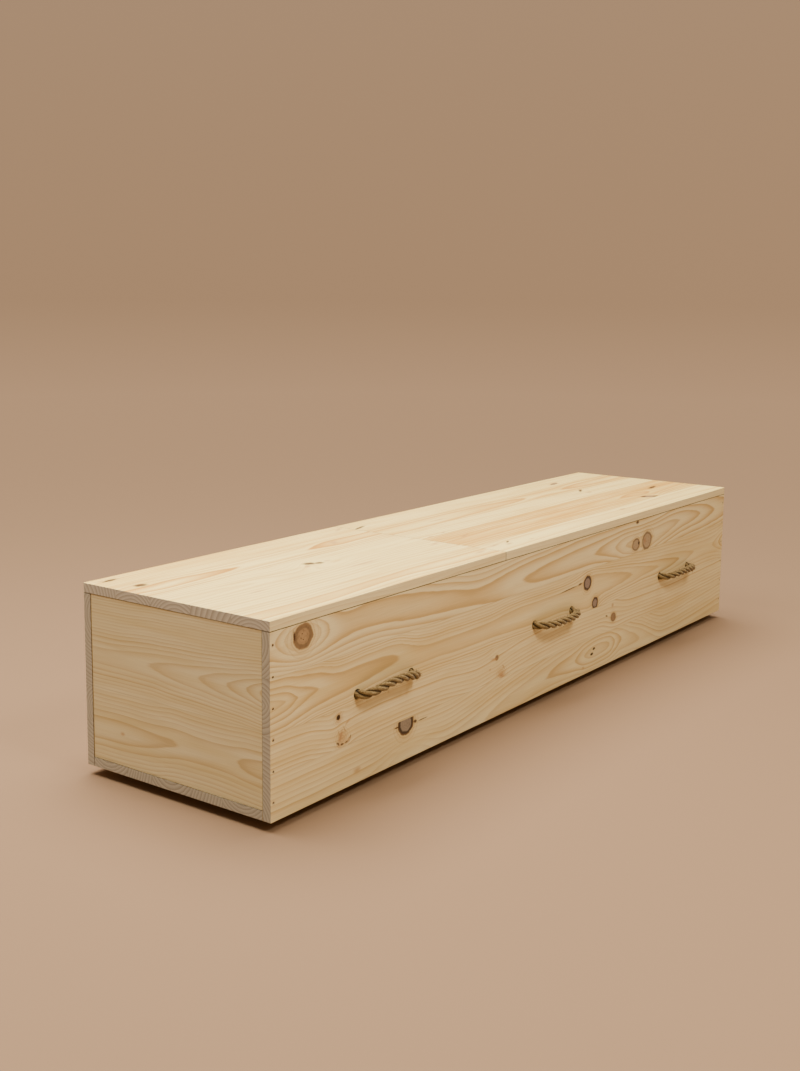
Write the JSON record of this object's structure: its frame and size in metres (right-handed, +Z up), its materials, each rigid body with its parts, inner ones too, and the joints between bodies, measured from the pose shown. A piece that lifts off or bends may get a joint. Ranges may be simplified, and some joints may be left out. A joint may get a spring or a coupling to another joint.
{
  "type": "pine coffin with rope handles",
  "caption": "Long plain pine box, hollow, with a loose flat lid in two lengths, rope handles along both sides and cross battens underneath.",
  "frame": {"origin": "on the floor under the middle of the box", "axes": "+X along the box from the head end to the foot end, +Y across it to the far side, +Z up"},
  "size_m": [2.05, 0.585, 0.4003],
  "materials": {
    "pine_box": "planed and sanded knotty pine, unfinished, matt",
    "pine_lid": "planed and sanded knotty pine, unfinished, matt",
    "pine_batten": "sawn pine, unfinished",
    "rope": "three-strand natural hemp rope, hairy, matt",
    "nail": "small steel nail heads, sunk and slightly browned"
  },
  "bodies": {
    "root": {"bottom_panel": "pine_box", "side_near": "pine_box", "side_far": "pine_box", "end_head": "pine_box", "end_foot": "pine_box", "lid_head": "pine_lid", "lid_foot": "pine_lid", "runner_head": "pine_batten", "runner_middle": "pine_batten", "runner_foot": "pine_batten", "rope_handle_near_1": "rope", "rope_handle_near_2": "rope", "rope_handle_near_3": "rope", "rope_handle_far_1": "rope", "rope_handle_far_2": "rope", "rope_handle_far_3": "rope"}
  },
  "joints": []
}
